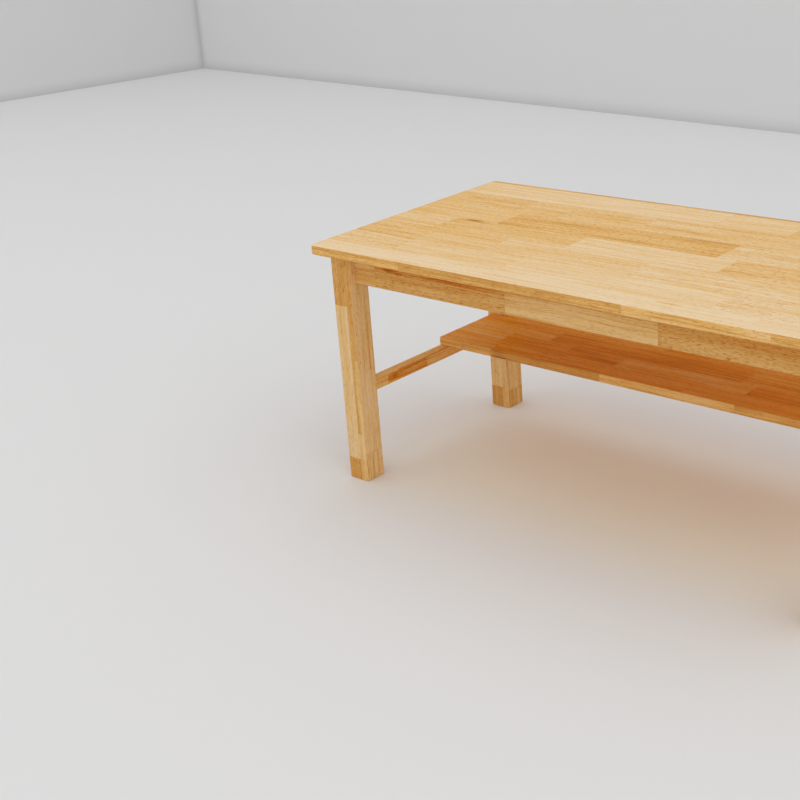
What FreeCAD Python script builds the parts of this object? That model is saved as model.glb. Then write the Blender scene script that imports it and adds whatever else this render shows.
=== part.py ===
import FreeCAD, Part
import os
import re
import Sketcher

# A long work table in solid wood: top, four square legs, tenoned aprons, end stretchers and a back shelf.
# The origin is on the floor under the middle of the top; +X runs along the table, -Y is the sitting side.

# Driving sizes in millimetres.
SIZES = {
    # overall
    "table_length": 1600,
    "table_depth": 800,
    "table_height": 700,
    "overhang": 40,
    # top board
    "top_thick": 25,
    "top_corner_radius": 20,
    "top_edge_radius": 3,
    # legs
    "leg_side": 70,
    "leg_edge_radius": 5,
    "foot_chamfer_width": 2,
    # aprons and their mitred tenons
    "apron_high": 85,
    "apron_thick": 25,
    "apron_set": 20,
    "apron_edge_radius": 5,
    "tenon_thick": 12,
    "tenon_top_shoulder": 15,
    "tenon_low_shoulder": 10,
    "mitre_gap": 1,
    "joint_fit": 0.1,
    # end stretchers
    "stretcher_wide": 35,
    "stretcher_high": 32,
    "stretcher_level": 252,
    "stretcher_edge_radius": 3,
    "stub_wide": 14,
    "stub_shoulder": 6,
    "stub_long": 40,
    "stub_room": 1,
    # shelf
    "shelf_thick": 25,
    "shelf_deep": 300,
    "shelf_corner_radius": 5,
    "shelf_edge_radius": 3,
    "notch_gap": 1,
    # cross rail
    "rail_thick": 25,
    "rail_rise": 25,
    "rail_stub_thick": 12,
    "rail_stub_shoulder": 10,
    "rail_stub_long": 10,
    # corner braces
    "brace_thick": 25,
    "brace_leg_gap": 2,
    "brace_low_gap": 10,
    "brace_top_gap": 15,
    "brace_tongue_wide": 8,
    "brace_tongue_deep": 6,
    # buttons that hold the top
    "button_wide": 40,
    "button_long": 32,
    "button_high": 22,
    "button_gap": 2,
    "side_button_in": 300,
    "end_button_in": 120,
    "tongue_thick": 7,
    "tongue_long": 7,
    "slot_top": 12,
    "slot_play": 1,
    # screws
    "screw_dia": 4,
    "head_dia": 8,
    "head_high": 2.5,
    "screw_fit": 0.05,
    "screw_clear": 0.25,
    "sink_dia": 10,
    "sink_deep": 8,
    "tip_room": 2,
    "button_bite": 12,
    "shelf_bite": 14,
    "shelf_screw_in": 50,
}

# Sizes that follow from the driving ones.
DERIVED = {
    "leg_long": "table_height - top_thick",
    "leg_x": "table_length / 2 - overhang - leg_side / 2",
    "leg_y": "table_depth / 2 - overhang - leg_side / 2",
    "side_half": "leg_x - leg_side / 2",
    "end_half": "leg_y - leg_side / 2",
    "side_face": "table_depth / 2 - overhang - apron_set",
    "end_face": "table_length / 2 - overhang - apron_set",
    "apron_level": "leg_long - apron_high",
    "tenon_out": "apron_set + (apron_thick - tenon_thick) / 2",
    "tenon_long": "leg_side - tenon_out - mitre_gap",
    "tenon_high": "apron_high - tenon_top_shoulder - tenon_low_shoulder",
    "tenon_near": "(apron_thick - tenon_thick) / 2",
    "tenon_far": "(apron_thick + tenon_thick) / 2",
    "stub_high": "stretcher_high - 2 * stub_shoulder",
    "shelf_level": "stretcher_level + stretcher_high",
    "shelf_half": "leg_x + stretcher_wide / 2",
    "shelf_back": "side_face",
    "shelf_front": "side_face - shelf_deep",
    "notch_x": "side_half - notch_gap",
    "notch_y": "end_half - notch_gap",
    "rail_high": "apron_high - rail_rise",
    "rail_half": "side_face - apron_thick",
    "rail_stub_high": "rail_high - 2 * rail_stub_shoulder",
    "leg_inside": "leg_side - apron_set - apron_thick",
    "brace_near": "2 * leg_inside + brace_leg_gap * sqrt(2)",
    "brace_far": "brace_near + brace_thick * sqrt(2)",
    "brace_mid": "(brace_near + brace_far) / 2",
    "brace_high": "apron_high - brace_low_gap - brace_top_gap",
    "slot_high": "tongue_thick + slot_play",
    "slot_deep": "tongue_long + slot_play",
    "button_mid": "button_gap + button_long / 2",
    "hole_dia": "screw_dia + 2 * screw_fit",
    "clear_dia": "screw_dia + 2 * screw_clear",
    "shelf_screw_low": "shelf_front + shelf_screw_in",
    "shelf_screw_high": "end_half - shelf_screw_in",
}

# How far two places may differ and still count as one, in millimetres.
SAME_PLACE = 1e-4

# Each corner's way inwards along x and y, and the turn that brings a brace there.
CORNERS = {
    "front_left": (1, 1, 0),
    "front_right": (-1, 1, 90),
    "back_right": (-1, -1, 180),
    "back_left": (1, -1, 270),
}

doc = FreeCAD.newDocument("work_table")


def make_sheet():
    """Write the driving sizes into the sheet, one aliased cell each."""
    page = doc.addObject("Spreadsheet::Sheet", "Sizes")
    for row, (name, value) in enumerate(SIZES.items(), start=1):
        page.set(f"A{row}", name)
        page.set(f"B{row}", str(value))
        page.setAlias(f"B{row}", name)
    doc.recompute()
    return page


sheet = make_sheet()


def bind(text):
    """Turn the size names in a formula into references to the sheet."""
    def swap(match):
        word = match.group(0)
        if word in DERIVED:
            return "(" + bind(DERIVED[word]) + ")"
        return "Sizes." + word if word in SIZES else word
    return re.sub(r"[a-z]\w*", swap, str(text))


def number(text):
    """The present value of a formula."""
    return float(sheet.evalExpression(bind(text)))


def place(item, x="0", y="0", z="0", turn=0):
    """Set an object at a point given by formulas, turned about the vertical by whole degrees."""
    item.Placement = FreeCAD.Placement(FreeCAD.Vector(), FreeCAD.Rotation(FreeCAD.Vector(0, 0, 1), turn))
    for axis, formula in zip("xyz", (x, y, z)):
        item.setExpression(f"Placement.Base.{axis}", bind(formula))


def new_body(name):
    body = doc.addObject("PartDesign::Body", name)
    body.Label = name
    return body


def new_sketch(body, name, role, level):
    """A sketch on one of the body's own base planes, moved along the plane's normal by a formula."""
    sketch = body.newObject("Sketcher::SketchObject", name)
    base = next(item for item in body.Origin.OriginFeatures if item.Role == role)
    sketch.AttachmentSupport = [(base, "")]
    sketch.MapMode = "FlatFace"
    sketch.setExpression("AttachmentOffset.Base.z", bind(level))
    return sketch


def pin_point(sketch, geometry, vertex, x, y):
    """Tie one point of a sketch to formulas for its two coordinates."""
    for kind, formula in (("DistanceX", x), ("DistanceY", y)):
        row = sketch.addConstraint(Sketcher.Constraint(kind, -1, 1, geometry, vertex, number(formula)))
        sketch.setExpression(f"Constraints[{row}]", bind(formula))


def draw_outline(sketch, points):
    """A closed outline of straight lines through points given by formulas."""
    spots = [FreeCAD.Vector(number(x), number(y), 0) for x, y in points]
    count = len(points)
    for index in range(count):
        sketch.addGeometry(Part.LineSegment(spots[index], spots[(index + 1) % count]))
    for index in range(count):
        sketch.addConstraint(Sketcher.Constraint("Coincident", index, 2, (index + 1) % count, 1))
    for index, (x, y) in enumerate(points):
        pin_point(sketch, index, 1, x, y)


def draw_circles(sketch, centres, diameter):
    """Equal circles at centres given by formulas."""
    for index, (x, y) in enumerate(centres):
        centre = FreeCAD.Vector(number(x), number(y), 0)
        sketch.addGeometry(Part.Circle(centre, FreeCAD.Vector(0, 0, 1), number(diameter) / 2))
        pin_point(sketch, index, 3, x, y)
        row = sketch.addConstraint(Sketcher.Constraint("Diameter", index, number(diameter)))
        sketch.setExpression(f"Constraints[{row}]", bind(diameter))


def box(x_low, x_high, y_low, y_high):
    """The four corners of a rectangle."""
    return [(x_low, y_low), (x_high, y_low), (x_high, y_high), (x_low, y_high)]


def pad(body, name, points, level, high):
    """Add a prism that stands on a level above the body's base plane."""
    sketch = new_sketch(body, name + "_outline", "XY_Plane", level)
    draw_outline(sketch, points)
    feature = body.newObject("PartDesign::Pad", name)
    feature.Profile = sketch
    feature.setExpression("Length", bind(high))
    doc.recompute()
    return feature


def cut(body, name, sketch, deep, reverse=False):
    """Pocket a sketch into the body and make sure that it took wood away."""
    before = body.Shape.Volume
    feature = body.newObject("PartDesign::Pocket", name)
    feature.Profile = sketch
    feature.Reversed = reverse
    feature.setExpression("Length", bind(deep))
    doc.recompute()
    if same(body.Shape.Volume, before):
        raise ValueError(f"{body.Label}: {name} cuts nothing")
    return feature


def sink(body, name, points, level, deep):
    """Cut a prism downwards from a level above the body's base plane."""
    sketch = new_sketch(body, name + "_outline", "XY_Plane", level)
    draw_outline(sketch, points)
    return cut(body, name, sketch, deep)


def drill_up(body, name, centres, diameter, level, deep):
    """Drill upright holes upwards from a level above the body's base plane."""
    sketch = new_sketch(body, name + "_outline", "XY_Plane", level)
    draw_circles(sketch, centres, diameter)
    return cut(body, name, sketch, deep, reverse=True)


def soften(body, name, kind, size, chosen):
    """Round or chamfer the edges of the body's last feature that a test picks out."""
    base = body.Tip
    names = [f"Edge{index}" for index, edge in enumerate(base.Shape.Edges, start=1) if chosen(edge)]
    feature = body.newObject(f"PartDesign::{kind}", name)
    feature.Base = (base, names)
    feature.setExpression("Radius" if kind == "Fillet" else "Size", bind(size))
    doc.recompute()
    return feature


def same(first, second):
    return abs(first - second) < SAME_PLACE


def runs_along(edge, axis):
    """Whether an edge is a line along one of the axes x, y and z."""
    reach = edge.BoundBox
    spans = {"x": reach.XLength, "y": reach.YLength, "z": reach.ZLength}
    along = spans.pop(axis)
    return along > SAME_PLACE and all(same(across, 0) for across in spans.values())


def is_upright(edge):
    return runs_along(edge, "z")


def at_height(edge, z):
    return same(edge.BoundBox.ZMin, z) and same(edge.BoundBox.ZMax, z)


SIDE_BUTTONS = ["-(side_half - side_button_in)", "(side_half - side_button_in)"]
END_BUTTONS = ["-(end_half - end_button_in)", "(end_half - end_button_in)"]
SIDE_REACH = "(side_face - apron_thick - button_mid)"
END_REACH = "(end_face - apron_thick - button_mid)"
# Each screw's place in the plan; a button's turn points its tongue at its apron.
BUTTON_SPOTS = [
    *[(x, f"-{SIDE_REACH}", 0) for x in SIDE_BUTTONS],
    *[(END_REACH, y, 90) for y in END_BUTTONS],
    *[(x, SIDE_REACH, 180) for x in SIDE_BUTTONS],
    *[(f"-{END_REACH}", y, 270) for y in END_BUTTONS],
]
SHELF_SCREW_SPOTS = [
    (f"{side} * leg_x", y, 0) for side in (-1, 1) for y in ("shelf_screw_low", "shelf_screw_high")
]


def make_top():
    body = new_body("table_top")
    half_x, half_y = "table_length / 2", "table_depth / 2"
    pad(body, "board", box(f"-{half_x}", half_x, f"-{half_y}", half_y), "0", "top_thick")
    soften(body, "plan_corners", "Fillet", "top_corner_radius", is_upright)
    faces = (0, number("top_thick"))
    soften(body, "arrises", "Fillet", "top_edge_radius", lambda edge: any(at_height(edge, z) for z in faces))
    centres = [(x, y) for x, y, turn in BUTTON_SPOTS]
    drill_up(body, "button_holes", centres, "hole_dia", "0", "button_bite + tip_room")
    place(body, z="leg_long")
    return body


def make_leg(corner, inward_x, inward_y):
    """A square leg; the two apron mortises meet inside it in the shape of an L."""
    body = new_body(f"leg_{corner}")
    half = "leg_side / 2"
    pad(body, "post", box(f"-{half}", half, f"-{half}", half), "0", "leg_long")
    soften(body, "arrises", "Fillet", "leg_edge_radius", is_upright)
    soften(body, "foot", "Chamfer", "foot_chamfer_width", lambda edge: at_height(edge, 0))

    outer = "(tenon_out - joint_fit - leg_side / 2)"
    inner = "(tenon_out + tenon_thick + joint_fit - leg_side / 2)"
    mouth = "(leg_side / 2 + joint_fit)"
    bent = [(outer, outer), (mouth, outer), (mouth, inner), (inner, inner), (inner, mouth), (outer, mouth)]
    turned = [(f"{inward_x} * {x}", f"{inward_y} * {y}") for x, y in bent]
    mortise_top = "leg_long - tenon_top_shoulder + joint_fit"
    sink(body, "apron_mortises", turned, mortise_top, "tenon_high + 2 * joint_fit")

    side = "(stub_wide / 2 + joint_fit)"
    floor_y = f"{inward_y} * (leg_side / 2 - stub_long - stub_room)"
    socket = box(f"-{side}", side, floor_y, f"{inward_y} * {mouth}")
    socket_top = "shelf_level - stub_shoulder + joint_fit"
    sink(body, "stretcher_mortise", socket, socket_top, "stub_high + 2 * joint_fit")
    place(body, f"-{inward_x} * leg_x", f"-{inward_y} * leg_y")
    return body


def make_apron(name, half, face_x, face_y, turn, buttons, has_rail):
    """An apron with a tenon at each end; its outer face is the plane y = 0 and its inner face looks to +y."""
    body = new_body(name)
    pad(body, "board", box(f"-{half}", half, "0", "apron_thick"), "0", "apron_high")

    def lower_arris(edge):
        return at_height(edge, 0) and runs_along(edge, "x")

    soften(body, "lower_arrises", "Fillet", "apron_edge_radius", lower_arris)

    long_tip = f"({half} + tenon_long)"
    short_tip = f"({half} + tenon_long - tenon_thick)"
    mitred = [(f"-{long_tip}", "tenon_near"), (long_tip, "tenon_near"), (short_tip, "tenon_far"),
              (f"-{short_tip}", "tenon_far")]
    pad(body, "tenons", mitred, "tenon_low_shoulder", "tenon_high")

    inner_low, inner_high = "apron_thick - slot_deep", "apron_thick + slot_play"
    reach = "(button_wide / 2 + slot_play)"
    for index, spot in enumerate(buttons, start=1):
        outline = box(f"{spot} - {reach}", f"{spot} + {reach}", inner_low, inner_high)
        sink(body, f"button_slot_{index}", outline, "apron_high - slot_top", "slot_high")
    if has_rail:
        side = "(rail_stub_thick / 2 + joint_fit)"
        outline = box(f"-{side}", side, "apron_thick - rail_stub_long - joint_fit", inner_high)
        socket_top = "apron_high - rail_stub_shoulder + joint_fit"
        sink(body, "rail_socket", outline, socket_top, "rail_stub_high + 2 * joint_fit")

    middle = f"({half} + leg_inside - brace_mid)"
    side = "(brace_tongue_wide / 2 + joint_fit)"
    floor_y = "apron_thick - brace_tongue_deep - joint_fit"
    for index, sign in enumerate("-+", start=1):
        outline = box(f"{sign}{middle} - {side}", f"{sign}{middle} + {side}", floor_y, inner_high)
        sink(body, f"brace_groove_{index}", outline, "apron_high", "apron_high - brace_low_gap")
    place(body, face_x, face_y, "apron_level", turn)
    return body


def make_rail():
    """The cross rail under the middle of the top, stub-tenoned into the long aprons."""
    body = new_body("cross_rail")
    side, stub = "rail_thick / 2", "rail_stub_thick / 2"
    tip = "(rail_half + rail_stub_long)"
    pad(body, "board", box(f"-{side}", side, "-rail_half", "rail_half"), "0", "rail_high")
    pad(body, "stubs", box(f"-{stub}", stub, f"-{tip}", tip), "rail_stub_shoulder", "rail_stub_high")
    place(body, z="leg_long - rail_high")
    return body


def make_stretcher(name, side):
    """A low rail between the legs of one end, stub-tenoned into them and bored for the shelf's screws."""
    body = new_body(name)
    half, stub = "stretcher_wide / 2", "stub_wide / 2"
    tip = "(end_half + stub_long)"
    pad(body, "bar", box(f"-{half}", half, "-end_half", "end_half"), "0", "stretcher_high")
    soften(body, "arrises", "Fillet", "stretcher_edge_radius", lambda edge: runs_along(edge, "y"))
    pad(body, "stubs", box(f"-{stub}", stub, f"-{tip}", tip), "stub_shoulder", "stub_high")
    centres = [("0", "shelf_screw_low"), ("0", "shelf_screw_high")]
    drill_up(body, "shelf_screw_holes", centres, "clear_dia", "0", "stretcher_high")
    drill_up(body, "shelf_screw_sinks", centres, "sink_dia", "0", "sink_deep")
    place(body, f"{side} * leg_x", "0", "stretcher_level")
    return body


def make_shelf():
    """A board on the stretchers, notched round the back legs, its back edge in line with the back apron."""
    body = new_body("shelf")
    outline = [
        ("-shelf_half", "shelf_front"), ("shelf_half", "shelf_front"), ("shelf_half", "notch_y"),
        ("notch_x", "notch_y"), ("notch_x", "shelf_back"), ("-notch_x", "shelf_back"),
        ("-notch_x", "notch_y"), ("-shelf_half", "notch_y"),
    ]
    pad(body, "board", outline, "0", "shelf_thick")
    front, back, end = number("shelf_front"), number("shelf_back"), number("shelf_half")
    rounded = front + number("shelf_corner_radius")
    faces = (0, number("shelf_thick"))

    def front_corner(edge):
        return is_upright(edge) and same(edge.BoundBox.YMin, front)

    def open_arris(edge):
        reach = edge.BoundBox
        at_front = reach.YMax < rounded + SAME_PLACE
        at_back = same(reach.YMin, back)
        at_end = same(reach.XMin, end) or same(reach.XMax, -end)
        return any(at_height(edge, z) for z in faces) and (at_front or at_back or at_end)

    soften(body, "front_corners", "Fillet", "shelf_corner_radius", front_corner)
    soften(body, "arrises", "Fillet", "shelf_edge_radius", open_arris)
    centres = [(x, y) for x, y, turn in SHELF_SCREW_SPOTS]
    drill_up(body, "screw_holes", centres, "hole_dia", "0", "shelf_bite + tip_room")
    place(body, z="shelf_level")
    return body


def make_brace(corner, inward_x, inward_y, turn):
    """A block across the inner corner behind a leg, with a tongue at each end in an apron's groove."""
    body = new_body(f"corner_brace_{corner}")
    low, high = "(brace_mid - brace_tongue_wide / 2)", "(brace_mid + brace_tongue_wide / 2)"
    deep = "-brace_tongue_deep"
    half = [("brace_near", "0"), (low, "0"), (low, deep), (high, deep), (high, "0"), ("brace_far", "0")]
    mirrored = [(y, x) for x, y in reversed(half)]
    pad(body, "block", half + mirrored, "brace_low_gap", "brace_high")
    corner_x = f"-{inward_x} * (end_face - apron_thick)"
    corner_y = f"-{inward_y} * (side_face - apron_thick)"
    place(body, corner_x, corner_y, "apron_level", turn)
    return body


def make_button_pattern():
    """One wooden button: a block with a tongue for the apron's slot. Its screw axis is the local z axis."""
    body = new_body("button_pattern")
    half = "button_wide / 2"
    near = "-button_long / 2"
    pad(body, "block", box(f"-{half}", half, near, "button_long / 2"), "-button_high", "button_high")
    tongue = box(f"-{half}", half, f"{near} - button_gap - tongue_long", near)
    pad(body, "tongue", tongue, "-slot_top - tongue_thick", "tongue_thick")
    drill_up(body, "screw_hole", [("0", "0")], "clear_dia", "-button_high", "button_high")
    return body


def make_screw_pattern(name, shank):
    """A plain screw along +z, with the underside of its head at the origin."""
    body = new_body(name)
    sketch = new_sketch(body, "half_section", "XZ_Plane", "0")
    draw_outline(sketch, [
        ("0", "-head_high"), ("head_dia / 2", "-head_high"), ("head_dia / 2", "0"),
        ("screw_dia / 2", "0"), ("screw_dia / 2", shank), ("0", shank),
    ])
    turned = body.newObject("PartDesign::Revolution", "turned")
    turned.Profile = sketch
    turned.ReferenceAxis = (sketch, ["V_Axis"])
    turned.Angle = 360
    doc.recompute()
    return body


def make_group(name, pattern, spots, level):
    """One node of equal pieces at one level; each spot is a point in the plan and a turn."""
    copies = []
    for index, (x, y, turn) in enumerate(spots, start=1):
        copy = doc.addObject("App::Link", f"{name}_{index}")
        copy.LinkedObject = pattern
        place(copy, x, y, level, turn)
        copies.append(copy)
    group = doc.addObject("Part::Compound", name)
    group.Label = name
    group.Links = copies
    return group


def make_parts():
    """Every sub-part of the table, in the order of assembly."""
    parts = [make_top()]
    parts += [make_leg(corner, across, back) for corner, (across, back, turn) in CORNERS.items()]
    parts.append(make_apron("apron_front", "side_half", "0", "-side_face", 0, SIDE_BUTTONS, True))
    parts.append(make_apron("apron_back", "side_half", "0", "side_face", 180, SIDE_BUTTONS, True))
    parts.append(make_apron("apron_right", "end_half", "end_face", "0", 90, END_BUTTONS, False))
    parts.append(make_apron("apron_left", "end_half", "-end_face", "0", 270, END_BUTTONS, False))
    parts.append(make_rail())
    parts.append(make_stretcher("stretcher_left", -1))
    parts.append(make_stretcher("stretcher_right", 1))
    parts.append(make_shelf())
    parts += [make_brace(corner, *signs) for corner, signs in CORNERS.items()]

    button = make_button_pattern()
    button_screw = make_screw_pattern("button_screw_pattern", "(button_high + button_bite)")
    shelf_screw = make_screw_pattern("shelf_screw_pattern", "(stretcher_high - sink_deep + shelf_bite)")
    parts.append(make_group("top_buttons", button, BUTTON_SPOTS, "leg_long"))
    parts.append(make_group("button_screws", button_screw, BUTTON_SPOTS, "leg_long - button_high"))
    parts.append(make_group("shelf_screws", shelf_screw, SHELF_SCREW_SPOTS, "stretcher_level + sink_deep"))
    return parts


def check_document(parts):
    """Stop if anything failed to compute or came out empty."""
    for item in doc.Objects:
        if "Invalid" in item.State or "Error" in item.State:
            raise ValueError(f"{item.Label}: {item.State}")
    for part in parts:
        if part.Shape.isNull() or not part.Shape.isValid() or not part.Shape.Solids:
            raise ValueError(f"{part.Label}: no valid solid")


def main():
    parts = make_parts()
    doc.recompute()
    check_document(parts)
    os.makedirs("parts", exist_ok=True)
    for part in parts:
        part.Shape.exportStep(f"parts/{part.Label}.step")
        print(part.Label, len(part.Shape.Solids), "solids", round(part.Shape.Volume), "mm3")


main()
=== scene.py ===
"""Looks of a long work table in edge-glued, clear-lacquered wood."""

import bpy
import numpy as np
from bpy.props import FloatProperty, FloatVectorProperty, PointerProperty
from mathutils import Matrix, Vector


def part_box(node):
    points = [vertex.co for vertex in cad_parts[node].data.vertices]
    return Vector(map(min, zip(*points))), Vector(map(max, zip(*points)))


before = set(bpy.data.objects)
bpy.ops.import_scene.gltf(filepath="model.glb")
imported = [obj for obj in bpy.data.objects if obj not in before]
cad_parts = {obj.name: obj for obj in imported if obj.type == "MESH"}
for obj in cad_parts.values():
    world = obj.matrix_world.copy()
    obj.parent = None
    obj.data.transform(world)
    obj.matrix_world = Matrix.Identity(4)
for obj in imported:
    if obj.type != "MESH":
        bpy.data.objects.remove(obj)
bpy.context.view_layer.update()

bl_info = {
    "name": "Work Table Looks",
    "version": (1, 0, 0),
    "blender": (4, 5, 0),
    "location": "3D View > Sidebar > Work Table",
    "description": "Finishes the pieces of a work table and sets its stage",
    "category": "Object",
}

MM = 1000  # millimetres in a metre

# Stave tones, from dark heartwood to the palest sapwood.
COPPER, AMBER, GOLD, HONEY, STRAW, PALE, CREAM = 0.22, 0.3, 0.4, 0.5, 0.62, 0.76, 0.95

# How strongly a stave shows its bands and pores; a speckled one has the most pores and fewer bands.
CALM, MILD, LIVELY, BOLD, SPECKLED = 0.74, 0.93, 1.08, 1.2, 1.55

# A board is rows of staves. A row begins at a place across the grain; each of its staves begins at a
# place along the grain and has a tone and a figure. All places are millimetres from the board's zero
# point. The first row begins before the board does, and so does a first stave with a tenon.
# In the top the first row is the front edge; its tones are darker than the staves above, partly the
# wood's own and partly painted shade of the upright edge face.
TOP_ROWS = (
    (-9, (
        (0, GOLD + 0.01, LIVELY), (333, GOLD - 0.05, BOLD), (1022, HONEY + 0.06, LIVELY),
        (1400, GOLD, LIVELY))),
    (1.5, ((0, CREAM, CALM), (910, CREAM + 0.03, CALM), (1340, CREAM - 0.03, CALM))),
    (75, (
        (0, PALE - 0.05, MILD), (230, PALE + 0.02, CALM), (600, PALE + 0.08, CALM),
        (1205, PALE + 0.09, LIVELY))),
    (185, (
        (0, HONEY + 0.07, LIVELY), (225, HONEY + 0.14, MILD), (455, STRAW + 0.13, MILD),
        (900, STRAW + 0.15, MILD), (1370, HONEY + 0.14, LIVELY))),
    (308, (
        (0, STRAW + 0.13, MILD), (188, HONEY + 0.11, LIVELY), (632, PALE + 0.08, CALM),
        (1080, HONEY + 0.14, BOLD))),
    (415, (
        (0, HONEY + 0.13, MILD), (328, GOLD + 0.1, SPECKLED - 0.15), (1018, STRAW + 0.18, LIVELY),
        (1420, HONEY, MILD))),
    (535, (
        (0, HONEY + 0.1, LIVELY), (285, HONEY + 0.14, MILD), (440, HONEY + 0.14, LIVELY),
        (695, HONEY + 0.18, LIVELY), (1250, STRAW, MILD))),
    (660, ((0, PALE + 0.08, CALM), (855, PALE + 0.01, CALM), (1080, HONEY + 0.08, LIVELY))),
    (786, ((0, AMBER + 0.04, MILD), (1080, AMBER, MILD))),
)
SHELF_ROWS = (
    (-9, (
        (0, GOLD + 0.02, MILD), (90, GOLD - 0.02, MILD), (200, AMBER - 0.05, LIVELY),
        (583, HONEY, MILD), (1002, GOLD - 0.07, LIVELY))),
    (1.5, (
        (0, HONEY + 0.13, LIVELY), (200, HONEY, LIVELY), (420, HONEY + 0.03, LIVELY),
        (840, HONEY + 0.02, MILD), (1270, STRAW, MILD))),
    (70, (
        (0, HONEY + 0.24, MILD), (178, HONEY - 0.02, LIVELY), (400, HONEY - 0.06, LIVELY),
        (582, HONEY + 0.15, MILD), (990, HONEY - 0.07, LIVELY))),
    (143, (
        (0, HONEY + 0.13, LIVELY), (305, HONEY - 0.1, MILD), (935, HONEY + 0.03, LIVELY),
        (1330, HONEY, MILD))),
    (220, ((0, HONEY + 0.04, LIVELY), (640, HONEY + 0.03, LIVELY), (1160, HONEY + 0.06, MILD))),
)
# In the left legs the rows from 69 on lie on the inner face; their tones are partly the wood's own and
# partly raised as painted light on that face.
FRONT_LEFT_LEG_ROWS = (
    (-9, ((0, AMBER - 0.03, SPECKLED), (66, STRAW, MILD), (526, AMBER + 0.01, SPECKLED))),
    (48, (
        (0, GOLD + 0.01, MILD), (66, STRAW - 0.07, CALM), (145, GOLD - 0.04, LIVELY),
        (370, AMBER + 0.01, LIVELY), (526, AMBER + 0.01, SPECKLED))),
    (69, ((0, HONEY, LIVELY), (85, HONEY + 0.1, MILD), (330, HONEY + 0.08, LIVELY))),
)
FRONT_RIGHT_LEG_ROWS = (
    (-9, ((0, GOLD + 0.05, LIVELY), (212, STRAW - 0.04, MILD), (596, AMBER + 0.04, LIVELY))),
    (31, ((0, STRAW - 0.08, CALM), (338, GOLD - 0.03, LIVELY))),
    (69, ((0, HONEY + 0.04, MILD), (281, GOLD + 0.06, LIVELY))),
)
BACK_RIGHT_LEG_ROWS = (
    (-9, ((0, GOLD + 0.1, LIVELY), (402, AMBER + 0.03, LIVELY))),
    (38, ((0, AMBER + 0.05, LIVELY), (158, STRAW - 0.1, MILD), (540, GOLD, LIVELY))),
    (69, ((0, GOLD + 0.06, MILD), (230, HONEY, LIVELY))),
)
BACK_LEFT_LEG_ROWS = (
    (-9, ((0, AMBER - 0.08, LIVELY), (68, GOLD + 0.13, LIVELY), (430, GOLD, LIVELY))),
    (46, ((0, GOLD + 0.06, MILD), (76, GOLD + 0.06, LIVELY), (390, GOLD, MILD))),
    (69, ((0, GOLD - 0.07, LIVELY), (60, HONEY - 0.01, MILD), (330, GOLD + 0.05, LIVELY))),
)
SIDE_APRON_ROWS = (
    (-9, (
        (-99, GOLD, MILD), (78, AMBER + 0.04, SPECKLED), (523, GOLD + 0.09, MILD),
        (972, AMBER + 0.06, SPECKLED + 0.15))),
)
END_APRON_ROWS = (
    (-9, ((-99, GOLD, MILD), (210, AMBER, LIVELY), (470, COPPER, MILD))),
)
STRETCHER_ROWS = (
    (-9, (
        (-99, GOLD + 0.06, MILD), (65, AMBER + 0.06, LIVELY), (232, GOLD + 0.05, MILD),
        (440, AMBER, LIVELY))),
    (28.5, ((-99, GOLD, MILD), (80, AMBER, MILD), (400, AMBER, LIVELY))),
    (31, ((-99, HONEY, MILD), (110, HONEY + 0.01, MILD), (400, GOLD + 0.05, LIVELY))),
)
RAIL_ROWS = (
    (-9, ((0, GOLD, MILD), (300, AMBER, LIVELY), (590, GOLD, CALM))),
)
BLOCK_ROWS = (
    (-9, ((-99, GOLD, MILD),)),
)

# Small knots and streaks: place along and across the grain, half length and half width in millimetres,
# and depth, which is below zero in a pale streak.
TOP_KNOTS = (
    (250, 408, 60, 15, 0.16), (250, 409, 30, 7, 0.42), (410, 395, 230, 22, 0.07),
    (200, 278, 240, 14, 0.06), (564, 529, 250, 8, -0.14), (910, 518, 130, 22, 0.1),
    (97, 612, 34, 9, 0.2), (1107, 61, 46, 7, 0.55))
SHELF_KNOTS = ((228, 0, 30, 14, 0.16), (560, 90, 120, 10, 0.1))
# The last side-apron streak, long and near the upper edge, is partly a streak in the wood and partly
# painted shade under the top's overhang.
SIDE_APRON_KNOTS = ((128, 59, 28, 9, 0.3), (160, 52, 26, 6, 0.24), (400, 66, 185, 24, 0.1))
STRETCHER_KNOTS = ((95, 19, 16, 9, 0.17),)

# Soft shades: the way they go (0 along, 1 across, 2 through the board), the places in millimetres
# where they begin and where they are full, and their depth. Along the grain they are the end grain's
# darker tone; the others are painted shade: under the top, on the legs' back faces and on the aprons
# below the top's overhang.
# The top's last shade darkens its underside: painted shade under the top.
TOP_SHADES = ((0, 5, 1, 0.16), (0, 1595, 1599, 0.16), (2, 3.5, 0.5, 0.12))
SHELF_SHADES = ((0, 5, 1, 0.12), (0, 1480, 1484, 0.12))
# The legs' first shade darkens their back faces: painted shade; the foot's darker end grain is the wood's
# own.
LEG_SHADES = ((2, 64, 69, 0.16), (0, 4, 0, 0.1))
# Painted shadow of the top's overhang, growing towards the apron's upper edge.
APRON_OVERHANG_SHADOW = ((1, 15, 80, 0.15),)

# Stain: the palest tone that takes any of it and the tone that takes all of it. On the shelf it is
# painted shade: the warm, deep orange shade under the top.
FAINT_STAIN = (0.3, -0.12)
STRETCHER_STAIN = (0.55, 0.1)
SHELF_PAINTED_SHADE = (1.4, 0.3)

# Edges that took less stain: way, beginning and end as for the shades, and the part left out. On the
# shelf these are where its painted shade thins out, as the light reaches them.
PLAIN_EDGES = ((1, 4, 0, 0.65),)
SHELF_EDGES = ((1, 4, 0, 0.8), (1, 296, 300, 0.8), (0, 4, 0, 0.8), (0, 1481, 1485, 0.8))

# How far the grain of like pieces is moved from one to the next, and of the single pieces.
LEG_STEP, APRON_STEP, STRETCHER_STEP, BRACE_STEP = 0.23, 0.31, 0.37, 0.19
SHELF_MOVE, RAIL_MOVE, BUTTON_MOVE = 0.4, 0.6, 0.8

# Each stave has its own number between 0 and 1, from steps of the golden section.
GOLDEN, STAVES_IN_ROW = 0.618034, 7
GLUE_HALF, GLUE_DARK = 0.35, 0.2  # half a glue line's width in millimetres, and its depth

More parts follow.
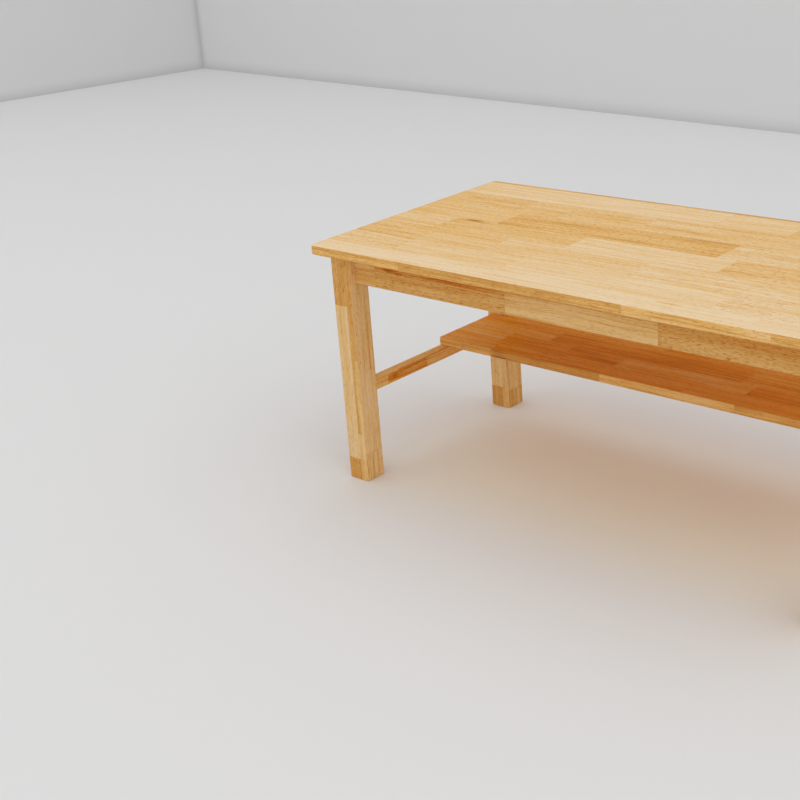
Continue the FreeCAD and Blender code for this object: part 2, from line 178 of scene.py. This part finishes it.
# Noise in the wood. Sizes are millimetres along, across and through the board.
STAVE_SPREAD = (9100, 530, 370)  # how far the number of a stave moves it through the noise
NOISE_MIDDLE = 0.5
WARP_SIZES, WARP_SWAY = (300, 50, 50), 18
DRIFT_SIZES, DRIFT_WEIGHT = (260, 45, 45), 0.2
BAND_STRETCH, BAND_DETAIL = 36, 3.0
LINE_STRETCH, LINE_DETAIL, LINE_WEIGHT = 70, 2.0, 1.1
PORE_RISE, PORE_WEIGHT, PORE_COVER = (0.56, 0.67), 0.1, 0.36
PLAIN_DETAIL = 1.0
KNOT_WAVE, KNOT_RIM = 2, 1.2

# Bands grow with the figure up to half of this and then fade; they are stronger in paler wood.
FIGURE_FOLD = 2.2
VIGOUR_BY_TONE, VIGOUR_LEAST = 0.9, 0.28
END_GRAIN_CALM = 0.6  # the part of the figure that end grain loses

# The lacquer's surface.
BUMP_STRENGTH, BUMP_DEPTH, BAND_HEIGHT = 0.07, 0.0004, 0.3
PORE_ROUGHNESS, BAND_ROUGHNESS = 0.2, 0.1

# The plating's clouds: sizes in millimetres, where they begin and are full, and what they change.
CLOUD_SIZES, CLOUD_DETAIL, CLOUD_RISE = (1.5, 1.5, 4), 3.0, (0.4, 0.7)
CLOUD_DULL, CLOUD_ROUGHNESS = 0.7, 0.3

# Paint of the stage. Places are millimetres from the table's middle, heights and widths from a line.
# The floor's glow under the table is painted warm bounce light from the wood; the walls' lines are
# painted shade.
PAINT_ROUGHNESS = 0.9
PAINTED_GLOW_ALONG, PAINTED_GLOW_ACROSS = (950, 450), (550, 100)
FLOOR_LINE, CORNER_LINE, LINE_SHADE_DEPTH = (0, 100), (0, 70), 0.2

SENSOR_WIDTH = 36


class WoodFinish(bpy.types.PropertyGroup):
    """Colours, grain sizes and gloss of the lacquered wood."""

    cream: FloatVectorProperty(
        name="Cream", description="Colour of the palest staves", subtype="COLOR", min=0, max=1,
        default=(0.965, 0.75, 0.485))
    pale: FloatVectorProperty(
        name="Pale", description="Colour of the pale staves", subtype="COLOR", min=0, max=1,
        default=(0.92, 0.645, 0.33))
    honey: FloatVectorProperty(
        name="Honey", description="Colour of the middling staves", subtype="COLOR", min=0, max=1,
        default=(0.90, 0.535, 0.174))
    amber: FloatVectorProperty(
        name="Amber", description="Colour of the dark staves", subtype="COLOR", min=0, max=1,
        default=(0.70, 0.37, 0.10))
    russet: FloatVectorProperty(
        name="Russet", description="Colour of the heartwood staves", subtype="COLOR", min=0, max=1,
        default=(0.64, 0.28, 0.065))
    # Framing colours are greyer and darker than pale and honey: partly the wood's own tone, partly
    # painted shade of the upright legs and aprons, which get less light than the top.
    frame_pale: FloatVectorProperty(
        name="Frame pale", description="Colour of the pale staves in legs and aprons", subtype="COLOR",
        min=0, max=1, default=(0.86, 0.61, 0.34))
    frame_honey: FloatVectorProperty(
        name="Frame honey", description="Colour of the middling staves in legs and aprons",
        subtype="COLOR", min=0, max=1, default=(0.83, 0.53, 0.215))
    umber: FloatVectorProperty(
        name="Umber", description="Colour of knots", subtype="COLOR", min=0, max=1,
        default=(0.43, 0.17, 0.045))
    pore: FloatVectorProperty(
        name="Pore", description="Colour of the open pores", subtype="COLOR", min=0, max=1,
        default=(0.52, 0.165, 0.02))
    # Also painted shade: the shelf takes this colour as the warm shade under the top.
    stain_and_shade: FloatVectorProperty(
        name="Stain", description="Stain that the shelf, the stretchers and the darkest wood take",
        subtype="COLOR", min=0, max=1, default=(1.0, 0.57, 0.03))
    band_width: FloatProperty(
        name="Band width", description="Width of the growth bands", subtype="DISTANCE", unit="LENGTH",
        min=0.002, max=0.05, default=0.011)
    line_width: FloatProperty(
        name="Line width", description="Width of the fine grain lines", subtype="DISTANCE",
        unit="LENGTH", min=0.0005, max=0.02, default=0.0028)
    pore_length: FloatProperty(
        name="Pore length", description="Length of the pore marks", subtype="DISTANCE", unit="LENGTH",
        min=0.001, max=0.05, default=0.015)
    pore_width: FloatProperty(
        name="Pore width", description="Width of the pore marks", subtype="DISTANCE", unit="LENGTH",
        min=0.0003, max=0.005, default=0.0018)
    roughness: FloatProperty(
        name="Roughness", description="Roughness of the lacquer between the pores", subtype="FACTOR",
        min=0, max=1, default=0.5)
    gloss: FloatProperty(
        name="Gloss", description="Strength of the lacquer's mirror light", subtype="FACTOR",
        min=0, max=1, default=0.03)


class SteelFinish(bpy.types.PropertyGroup):
    """Colour and gloss of the plated screws."""

    zinc: FloatVectorProperty(
        name="Zinc", description="Colour of the plating", subtype="COLOR", min=0, max=1,
        default=(0.66, 0.65, 0.62))
    roughness: FloatProperty(
        name="Roughness", description="Roughness of the plating", subtype="FACTOR",
        min=0, max=1, default=0.34)


class StageSettings(bpy.types.PropertyGroup):
    """Floor, walls, light and camera."""

    floor: FloatVectorProperty(
        name="Floor", description="Colour of the floor", subtype="COLOR", min=0, max=1,
        default=(0.86, 0.86, 0.86))
    # Painted light: the floor under the table is painted warmer, as bounce light from the wood.
    floor_painted_glow: FloatVectorProperty(
        name="Floor glow", description="Colour of the floor under the table, warmed by the wood",
        subtype="COLOR", min=0, max=1, default=(0.945, 0.927, 0.825))
    # The left wall is painted darker than the back wall: painted shade that evens out the fill lamp's
    # light on it.
    left_paint: FloatVectorProperty(
        name="Left paint", description="Colour of the left wall", subtype="COLOR", min=0, max=1,
        default=(0.735, 0.735, 0.735))
    back_paint: FloatVectorProperty(
        name="Back paint", description="Colour of the back wall", subtype="COLOR", min=0, max=1,
        default=(0.80, 0.80, 0.80))
    corner: FloatVectorProperty(
        name="Corner", description="Where the two walls meet on the floor", subtype="TRANSLATION",
        unit="LENGTH", size=2, default=(-7.352, 4.635))
    left_wall: FloatProperty(
        name="Left wall", description="Way of the left wall from the corner", subtype="ANGLE",
        unit="ROTATION", default=-1.82)
    back_wall: FloatProperty(
        name="Back wall", description="Way of the back wall from the corner", subtype="ANGLE",
        unit="ROTATION", default=-0.0742)
    wall_height: FloatProperty(
        name="Wall height", description="Height of the walls", subtype="DISTANCE", unit="LENGTH",
        default=6)
    reach: FloatProperty(
        name="Reach", description="How far the floor and the walls go", subtype="DISTANCE",
        unit="LENGTH", default=200)
    sky: FloatProperty(
        name="Sky light", description="Strength of the even light", min=0, max=4, default=0.83)
    fill: FloatProperty(
        name="Fill lamp", description="Strength of the wide fill lamp", min=0, max=10, default=0.5)
    fill_spread: FloatProperty(
        name="Fill spread", description="Angle that the fill lamp fills", subtype="ANGLE",
        unit="ROTATION", default=1.6)
    fill_turn: FloatVectorProperty(
        name="Fill turn", description="How the fill lamp is turned", subtype="EULER", unit="ROTATION",
        default=(1.15, 0.0, 1.65))
    camera_place: FloatVectorProperty(
        name="Camera place", description="Where the camera stands", subtype="TRANSLATION",
        unit="LENGTH", default=(2.01093, -2.96730, 1.74825))
    camera_turn: FloatVectorProperty(
        name="Camera turn", description="How the camera is turned", subtype="EULER", unit="ROTATION",
        default=(1.188585, 0.074106, 0.744052))
    camera_lens: FloatProperty(
        name="Camera lens", description="Focal length for a 36 mm sensor", subtype="DISTANCE_CAMERA",
        unit="CAMERA", default=64.72)


class TableLooks(bpy.types.PropertyGroup):
    """All the settings of the table's looks."""

    wood: PointerProperty(type=WoodFinish)
    steel: PointerProperty(type=SteelFinish)
    stage: PointerProperty(type=StageSettings)


class Signal:
    """One socket of a finish; arithmetic on it adds Math nodes."""

    def __init__(self, finish, socket):
        self.finish = finish
        self.socket = socket

    def math(self, operation, *values):
        """The result of a Math node on the values."""
        return self.finish.node("ShaderNodeMath", {"operation": operation}, dict(enumerate(values)))

    def __add__(self, other):
        return self.math("ADD", self, other)

    def __radd__(self, other):
        return self.math("ADD", other, self)

    def __sub__(self, other):
        return self.math("SUBTRACT", self, other)

    def __rsub__(self, other):
        return self.math("SUBTRACT", other, self)

    def __mul__(self, other):
        return self.math("MULTIPLY", self, other)

    def __rmul__(self, other):
        return self.math("MULTIPLY", other, self)

    def __truediv__(self, other):
        return self.math("DIVIDE", self, other)

    def __rtruediv__(self, other):
        return self.math("DIVIDE", other, self)

    def __pow__(self, other):
        return self.math("POWER", self, other)

    def __rpow__(self, other):
        return self.math("POWER", other, self)

    def __gt__(self, other):
        return self.math("GREATER_THAN", self, other)

    def __lt__(self, other):
        return self.math("LESS_THAN", self, other)

    def __abs__(self):
        return self.math("ABSOLUTE", self)

    def near(self, place, reach):
        """1 within the reach of a place and 0 elsewhere."""
        return self.math("COMPARE", self, place, reach)


class Finish:
    """A material in the making."""

    def __init__(self, name):
        self.material = bpy.data.materials.new(name)
        self.material.use_nodes = True
        self.tree = self.material.node_tree
        self.tree.nodes.clear()

    def node(self, kind, settings=None, sockets=None, out=0):
        """Add a node: its settings first, then the values or links of its sockets.

        Gives the output that is asked for, or a tuple of several.
        """
        node = self.tree.nodes.new(kind)
        for name, value in (settings or {}).items():
            if name == "stops":
                self.set_stops(node.color_ramp, value)
            else:
                setattr(node, name, value)
        for key, value in (sockets or {}).items():
            if isinstance(value, Signal):
                self.tree.links.new(value.socket, node.inputs[key])
            else:
                node.inputs[key].default_value = value
        if isinstance(out, tuple):
            return tuple(Signal(self, node.outputs[key]) for key in out)
        return Signal(self, node.outputs[out])

    @staticmethod
    def set_stops(ramp, stops):
        """Give a new ramp its stops, each a position and a colour."""
        first, *others = stops
        ramp.elements.remove(ramp.elements[1])
        ramp.elements[0].position = first[0]
        ramp.elements[0].color = (*first[1], 1)
        for position, colour in others:
            ramp.elements.new(position).color = (*colour, 1)

    def position(self):
        """The three object coordinates, in millimetres."""
        coords = self.node("ShaderNodeTexCoord", out="Object")
        return [axis * MM for axis in self.parts(coords)]

    def parts(self, vector):
        """The three numbers of a vector."""
        return self.node("ShaderNodeSeparateXYZ", None, {0: vector}, out=("X", "Y", "Z"))

    def vector(self, x, y, z):
        """A vector of three numbers."""
        return self.node("ShaderNodeCombineXYZ", None, {0: x, 1: y, 2: z})

    def pick(self, factor, first, second):
        """The first vector where the factor is 0 and the second where it is 1."""
        sockets = {0: factor, 4: first, 5: second}
        return self.node("ShaderNodeMix", {"data_type": "VECTOR"}, sockets, out=1)

    def blend(self, factor, first, second):
        """A mix of two colours."""
        sockets = {0: factor, 6: first, 7: second}
        return self.node("ShaderNodeMix", {"data_type": "RGBA"}, sockets, out=2)

    def dye(self, factor, colour, dye):
        """A colour multiplied by a dye, as much as the factor says."""
        settings = {"data_type": "RGBA", "blend_type": "MULTIPLY"}
        return self.node("ShaderNodeMix", settings, {0: factor, 6: colour, 7: dye}, out=2)

    def rise(self, value, low, high):
        """A smooth step from 0 at low to 1 at high."""
        sockets = {"Value": value, "From Min": low, "From Max": high}
        return self.node("ShaderNodeMapRange", {"interpolation_type": "SMOOTHSTEP"}, sockets)

    def noise(self, vector, sizes, detail=2.0):
        """Noise on a vector that is first divided by a size for each axis."""
        scales = tuple(1 / size for size in sizes)
        shrunk = self.node("ShaderNodeVectorMath", {"operation": "MULTIPLY"}, {0: vector, 1: scales})
        return self.node("ShaderNodeTexNoise", None, {"Vector": shrunk, "Scale": 1.0, "Detail": detail})

    def close(self, sockets):
        """End the material in one principled surface."""
        surface = self.node("ShaderNodeBsdfPrincipled", None, sockets)
        output = self.tree.nodes.new("ShaderNodeOutputMaterial")
        self.tree.links.new(surface.socket, output.inputs["Surface"])
        return self.material


def lay_staves(finish, along, across, rows):
    """Tone, figure and own number of the stave at a point.

    The point belongs to the last row and the last stave whose beginnings it has passed; a hair's
    breadth at each joint is darker, as the glue line is.
    """
    chosen = None
    for number, (edge, staves) in enumerate(rows):
        row = None
        for index, (start, tone, figure) in enumerate(staves):
            stave = (tone, figure, GOLDEN * (STAVES_IN_ROW * number + index + 1) % 1)
            if row is None:
                row = stave
                continue
            row = finish.pick(along > start, row, stave)
            glue = (tone - GLUE_DARK, *stave[1:])
            row = finish.pick(along.near(start, GLUE_HALF), row, glue)
        chosen = row if chosen is None else finish.pick(across > edge, chosen, row)
    if isinstance(chosen, tuple):
        chosen = finish.vector(*chosen)
    return finish.parts(chosen)


def draw_knots(finish, along, across, warp, knots):
    """How much darker a point is for the knots near it.

    A knot has its full depth in the middle of an ellipse with a wavy rim and fades to nothing outside.
    """
    total = 0.0
    for at_along, at_across, half_long, half_wide, depth in knots:
        u = (along - at_along) / half_long
        v = (across - at_across) / half_wide
        reach = u * u + v * v + warp * KNOT_WAVE
        total = total + (1 - finish.rise(reach, 0.0, KNOT_RIM)) * depth
    return total


def make_wood(
        name, zero, grain, rows, knots=(), shades=(), own=0.0, stain_and_shade=FAINT_STAIN, edges=PLAIN_EDGES,
        framing=False):
    """Lacquered wood, its staves laid out along the first axis named in grain and across the second.

    A stave's tone is moved by growth bands, by fine lines and by a slow drift, all of them noise drawn
    out along the grain, by knots, by the darker end grain and by painted shade; the sum looks up the
    wood's colours. Pores are short dark marks along the grain, and end grain shows less of them and of
    the bands. The staining is two tones: wood as pale as the first takes none of it and wood as dark as
    the second takes all, apart from the edges, which leave a part of it out. On the shelf the staining
    is painted shade, the warm shade under the top, kept thinner on its edges, which the light reaches.
    Framing wood is a little greyer and darker, partly its own tone and partly painted shade of upright
    faces, which get less light than the top.
    """
    wood = bpy.context.scene.work_table.wood
    finish = Finish(name)
    places = dict(zip("xyz", finish.position()))
    ways = [places[axis] - zero["xyz".index(axis)] * MM for axis in grain]
    along, across, through = ways

    tone, figure, number = lay_staves(finish, along, across, rows)
    number = number + own
    spread_along, spread_across, spread_through = STAVE_SPREAD
    far_along = along + number * spread_along
    far_across = across + number * spread_across
    far_through = through + number * spread_through
    spot = finish.vector(far_along, far_across, far_through)
    warp = finish.noise(spot, WARP_SIZES) - NOISE_MIDDLE
    bent = finish.vector(far_along, far_across + warp * WARP_SWAY, far_through)

    band, line = wood.band_width * MM, wood.line_width * MM
    length, width = wood.pore_length * MM, wood.pore_width * MM
    bands = finish.noise(bent, (BAND_STRETCH * band, band, band), BAND_DETAIL) - NOISE_MIDDLE
    lines = finish.noise(bent, (LINE_STRETCH * line, line, line), LINE_DETAIL) - NOISE_MIDDLE
    drift = finish.noise(spot, DRIFT_SIZES, PLAIN_DETAIL) - NOISE_MIDDLE
    pores = finish.rise(finish.noise(bent, (length, width, width), PLAIN_DETAIL), *PORE_RISE)

    darker, end_grain = 0.0, 0.0
    for way, begin, full, depth in shades:
        shade = finish.rise(ways[way], begin, full)
        darker = darker + shade * depth
        if way == 0:
            end_grain = end_grain + shade
    figure = figure * (1 - end_grain * END_GRAIN_CALM)

    folded = figure.math("MINIMUM", figure, FIGURE_FOLD - figure)
    vigour = folded * (tone * VIGOUR_BY_TONE + VIGOUR_LEAST)
    marks = bands + lines * LINE_WEIGHT - pores * PORE_WEIGHT
    level = tone + vigour * marks + drift * DRIFT_WEIGHT
    if knots:
        level = level - draw_knots(finish, along, across, warp + lines, knots)
    level = level - darker

    # Framing colours: partly painted shade of upright faces.
    honey, pale = (wood.frame_honey, wood.frame_pale) if framing else (wood.honey, wood.pale)
    stops = (
        (0.0, wood.umber), (0.12, wood.russet), (0.3, wood.amber), (0.5, honey), (0.78, pale),
        (1.0, wood.cream))
    colour = finish.node("ShaderNodeValToRGB", {"stops": stops}, {0: level})
    colour = finish.blend(pores * figure * figure * PORE_COVER, colour, (*wood.pore, 1))
    taken = finish.rise(level, *stain_and_shade)
    for way, begin, full, part in edges:
        taken = taken * (1 - finish.rise(ways[way], begin, full) * part)
    colour = finish.dye(taken, colour, (*wood.stain_and_shade, 1))

    bump = {"Strength": BUMP_STRENGTH, "Distance": BUMP_DEPTH, "Height": bands * BAND_HEIGHT - pores}
    return finish.close({
        "Base Color": colour,
        "Roughness": wood.roughness + pores * PORE_ROUGHNESS - bands * BAND_ROUGHNESS,
        "Specular IOR Level": wood.gloss,
        "Normal": finish.node("ShaderNodeBump", None, bump),
    })


def make_zinc(name):
    """Plated steel, a little cloudy."""
    steel = bpy.context.scene.work_table.steel
    finish = Finish(name)
    cloud = finish.noise(finish.vector(*finish.position()), CLOUD_SIZES, CLOUD_DETAIL)
    dull = tuple(CLOUD_DULL * part for part in steel.zinc)
    colour = finish.blend(finish.rise(cloud, *CLOUD_RISE), (*steel.zinc, 1), (*dull, 1))
    return finish.close({
        "Base Color": colour,
        "Roughness": steel.roughness + (cloud - NOISE_MIDDLE) * CLOUD_ROUGHNESS,
        "Metallic": 1.0,
    })


def close_paint(finish, colour):
    """End a matt paint of a colour."""
    return finish.close({"Base Color": colour, "Roughness": PAINT_ROUGHNESS, "Specular IOR Level": 0.0})


def make_floor_paint(name, stage):
    """Matt paint with painted light: a warm glow under the table, painted bounce light from the wood."""
    finish = Finish(name)
    x, y, _ = finish.position()
    # Painted bounce light, full under the middle of the table and fading out towards its ends and sides.
    under = finish.rise(abs(x), *PAINTED_GLOW_ALONG) * finish.rise(abs(y), *PAINTED_GLOW_ACROSS)
    return close_paint(finish, finish.blend(under, (*stage.floor, 1), (*stage.floor_painted_glow, 1)))


def make_wall_paint(name, stage):
    """Matt paint, in shade along the lines where the walls meet the floor and each other."""
    finish = Finish(name)
    x, y, z = finish.position()
    corner_x, corner_y = (place * MM for place in stage.corner)
    from_corner = ((x - corner_x) ** 2 + (y - corner_y) ** 2) ** 0.5
    # Painted shade along the floor line and the corner line.
    light = (finish.rise(z, *FLOOR_LINE) * finish.rise(from_corner, *CORNER_LINE)) ** 0.5
    # The left wall's darker paint is painted shade against the fill lamp's light.
    paint = finish.blend(x > corner_x, (*stage.left_paint, 1), (*stage.back_paint, 1))
    return close_paint(finish, finish.blend(light * LINE_SHADE_DEPTH + (1 - LINE_SHADE_DEPTH), (0, 0, 0, 1), paint))


def dress(node, material):
    """Give a piece of the frame its material."""
    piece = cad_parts[node]
    for slot in piece.material_slots:
        slot.material = material


def lower_corner(node):
    """A piece's lowest corner at rest."""
    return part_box(node)[0]


def upper_corner(node):
    """A piece's highest corner at rest."""
    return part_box(node)[1]


class WORKTABLE_OT_top(bpy.types.Operator):
    """Finish the table top: seven rows of staves along the table and a strip for each long edge"""

    bl_idname = "work_table.top"
    bl_label = "Finish the Top"

    def execute(self, context):
        zero = lower_corner("table_top")
        # The top's underside is darker: painted shade.
        dress("table_top", make_wood("top_wood", zero, "xyz", TOP_ROWS, TOP_KNOTS, TOP_SHADES))
        return {"FINISHED"}


class WORKTABLE_OT_legs(bpy.types.Operator):
    """Finish the four legs: upright staves, and others on the face at the right"""

    bl_idname = "work_table.legs"
    bl_label = "Finish the Legs"

    def execute(self, context):
        layouts = {
            "leg_front_left": FRONT_LEFT_LEG_ROWS,
            "leg_front_right": FRONT_RIGHT_LEG_ROWS,
            "leg_back_right": BACK_RIGHT_LEG_ROWS,
            "leg_back_left": BACK_LEFT_LEG_ROWS,
        }
        for index, (node, rows) in enumerate(layouts.items()):
            # The legs' back faces get painted shade.
            wood = make_wood(
                f"{node}_wood", lower_corner(node), "zxy", rows, (), LEG_SHADES, LEG_STEP * index,
                framing=True)
            dress(node, wood)
        return {"FINISHED"}


class WORKTABLE_OT_aprons(bpy.types.Operator):
    """Finish the four aprons under the top"""

    bl_idname = "work_table.aprons"
    bl_label = "Finish the Aprons"

    def execute(self, context):
        # The aprons take painted shadow of the top's overhang towards their upper edge.
        leg = upper_corner("leg_front_left")
        for index, node in enumerate(("apron_front", "apron_back")):
            zero = Vector((leg.x, 0, lower_corner(node).z))
            wood = make_wood(
                f"{node}_wood", zero, "xzy", SIDE_APRON_ROWS, SIDE_APRON_KNOTS, APRON_OVERHANG_SHADOW,
                APRON_STEP * index, framing=True)
            dress(node, wood)
        for index, node in enumerate(("apron_left", "apron_right")):
            zero = Vector((0, leg.y, lower_corner(node).z))
            wood = make_wood(
                f"{node}_wood", zero, "yzx", END_APRON_ROWS, (), APRON_OVERHANG_SHADOW, APRON_STEP * index,
                framing=True)
            dress(node, wood)
        return {"FINISHED"}


class WORKTABLE_OT_stretchers(bpy.types.Operator):
    """Finish the two low stretchers"""

    bl_idname = "work_table.stretchers"
    bl_label = "Finish the Stretchers"

    def execute(self, context):
        leg = upper_corner("leg_front_left")
        for index, node in enumerate(("stretcher_left", "stretcher_right")):
            zero = Vector((0, leg.y, lower_corner(node).z))
            wood = make_wood(
                f"{node}_wood", zero, "yzx", STRETCHER_ROWS, STRETCHER_KNOTS, (),
                STRETCHER_STEP * index, STRETCHER_STAIN)
            dress(node, wood)
        return {"FINISHED"}


class WORKTABLE_OT_shelf(bpy.types.Operator):
    """Finish the shelf: four rows of staves along the table and a strip for the front edge"""

    bl_idname = "work_table.shelf"
    bl_label = "Finish the Shelf"

    def execute(self, context):
        zero = lower_corner("shelf")
        # The shelf's deep orange is painted shade: the warm shade under the top, thinner on its edges.
        wood = make_wood(
            "shelf_wood", zero, "xyz", SHELF_ROWS, SHELF_KNOTS, SHELF_SHADES, SHELF_MOVE, SHELF_PAINTED_SHADE,
            SHELF_EDGES)
        dress("shelf", wood)
        return {"FINISHED"}


class WORKTABLE_OT_underframe(bpy.types.Operator):
    """Finish the cross rail and the corner braces under the top"""

    bl_idname = "work_table.underframe"
    bl_label = "Finish the Underframe"

    def execute(self, context):
        zero = lower_corner("cross_rail")
        dress("cross_rail", make_wood("cross_rail_wood", zero, "yzx", RAIL_ROWS, own=RAIL_MOVE))
        for index, corner in enumerate(("front_left", "front_right", "back_right", "back_left")):
            node = f"corner_brace_{corner}"
            zero = lower_corner(node)
            dress(node, make_wood(f"{node}_wood", zero, "zxy", BLOCK_ROWS, own=BRACE_STEP * index))
        return {"FINISHED"}


class WORKTABLE_OT_buttons(bpy.types.Operator):
    """Finish the wooden buttons that hold the top"""

    bl_idname = "work_table.buttons"
    bl_label = "Finish the Buttons"

    def execute(self, context):
        zero = lower_corner("top_buttons")
        dress("top_buttons", make_wood("button_wood", zero, "xyz", BLOCK_ROWS, own=BUTTON_MOVE))
        return {"FINISHED"}


class WORKTABLE_OT_screws(bpy.types.Operator):
    """Finish the screws of the buttons and of the shelf"""

    bl_idname = "work_table.screws"
    bl_label = "Finish the Screws"

    def execute(self, context):
        zinc = make_zinc("screw_zinc")
        for node in ("button_screws", "shelf_screws"):
            dress(node, zinc)
        return {"FINISHED"}


def surface_grid(name, points, material):
    """A stage surface from a grid of points, with one face for each cell of the grid."""
    rows, columns = points.shape[:2]
    index = np.arange(rows * columns).reshape(rows, columns)
    faces = np.stack([index[:-1, :-1], index[:-1, 1:], index[1:, 1:], index[1:, :-1]], axis=-1)
    mesh = bpy.data.meshes.new(name)
    mesh.from_pydata(points.reshape(-1, 3).tolist(), [], faces.reshape(-1, 4).tolist())
    mesh.materials.append(material)
    piece = bpy.data.objects.new(name, mesh)
    bpy.context.scene.collection.objects.link(piece)


def lay_floor(stage):
    """The floor: a square at height 0, as far as the reach on every side."""
    x, y = np.meshgrid([-stage.reach, stage.reach], [-stage.reach, stage.reach])
    points = np.stack([x, y, np.zeros_like(x)], axis=-1)
    surface_grid("floor", points, make_floor_paint("floor_paint_and_glow", stage))


def build_walls(stage):
    """The walls: two straight lines from the corner, as long as the reach, carried up to their height."""
    ways = np.array([stage.left_wall, stage.back_wall])
    ends = np.array(stage.corner) + stage.reach * np.stack([np.cos(ways), np.sin(ways)], axis=-1)
    line = np.array([ends[0], stage.corner, ends[1]])
    heights = np.repeat([[0.0], [stage.wall_height]], len(line), axis=1)
    points = np.concatenate([np.stack([line, line]), heights[..., None]], axis=-1)
    surface_grid("walls", points, make_wall_paint("wall_paint", stage))


class WORKTABLE_OT_stage(bpy.types.Operator):
    """Set the floor, the walls, the soft light and the camera"""

    bl_idname = "work_table.stage"
    bl_label = "Set the Stage"

    def execute(self, context):
        scene = context.scene
        stage = scene.work_table.stage
        lay_floor(stage)
        build_walls(stage)

        world = bpy.data.worlds.new("even_light")
        world.use_nodes = True
        background = world.node_tree.nodes["Background"]
        background.inputs["Color"].default_value = (1, 1, 1, 1)
        background.inputs["Strength"].default_value = stage.sky
        scene.world = world

        lamp = bpy.data.lights.new("fill_lamp", "SUN")
        lamp.energy = stage.fill
        lamp.angle = stage.fill_spread
        fill = bpy.data.objects.new("fill_lamp", lamp)
        fill.rotation_euler = stage.fill_turn
        scene.collection.objects.link(fill)

        view = bpy.data.cameras.new("camera")
        view.sensor_width = SENSOR_WIDTH
        view.lens = stage.camera_lens
        camera = bpy.data.objects.new("camera", view)
        camera.location = stage.camera_place
        camera.rotation_euler = stage.camera_turn
        scene.collection.objects.link(camera)
        scene.camera = camera
        scene.view_settings.view_transform = "Standard"
        return {"FINISHED"}


OPERATORS = (
    WORKTABLE_OT_top, WORKTABLE_OT_legs, WORKTABLE_OT_aprons, WORKTABLE_OT_stretchers,
    WORKTABLE_OT_shelf, WORKTABLE_OT_underframe, WORKTABLE_OT_buttons, WORKTABLE_OT_screws,
    WORKTABLE_OT_stage,
)


class VIEW3D_PT_work_table(bpy.types.Panel):
    """Lists the table's finishes and the stage"""

    bl_label = "Work Table"
    bl_space_type = "VIEW_3D"
    bl_region_type = "UI"
    bl_category = "Work Table"

    def draw(self, context):
        looks = context.scene.work_table
        for operator in OPERATORS:
            self.layout.operator(operator.bl_idname)
        for group in (looks.wood, looks.steel, looks.stage):
            box = self.layout.box()
            for name in group.__annotations__:
                box.prop(group, name)


CLASSES = (WoodFinish, SteelFinish, StageSettings, TableLooks, *OPERATORS, VIEW3D_PT_work_table)


def register():
    for item in CLASSES:
        bpy.utils.register_class(item)
    bpy.types.Scene.work_table = PointerProperty(type=TableLooks)


def unregister():
    del bpy.types.Scene.work_table
    for item in reversed(CLASSES):
        bpy.utils.unregister_class(item)


def main():
    register()
    bpy.ops.work_table.top()
    bpy.ops.work_table.legs()
    bpy.ops.work_table.aprons()
    bpy.ops.work_table.stretchers()
    bpy.ops.work_table.shelf()
    bpy.ops.work_table.underframe()
    bpy.ops.work_table.buttons()
    bpy.ops.work_table.screws()
    bpy.ops.work_table.stage()


if __name__ == "__main__":
    main()
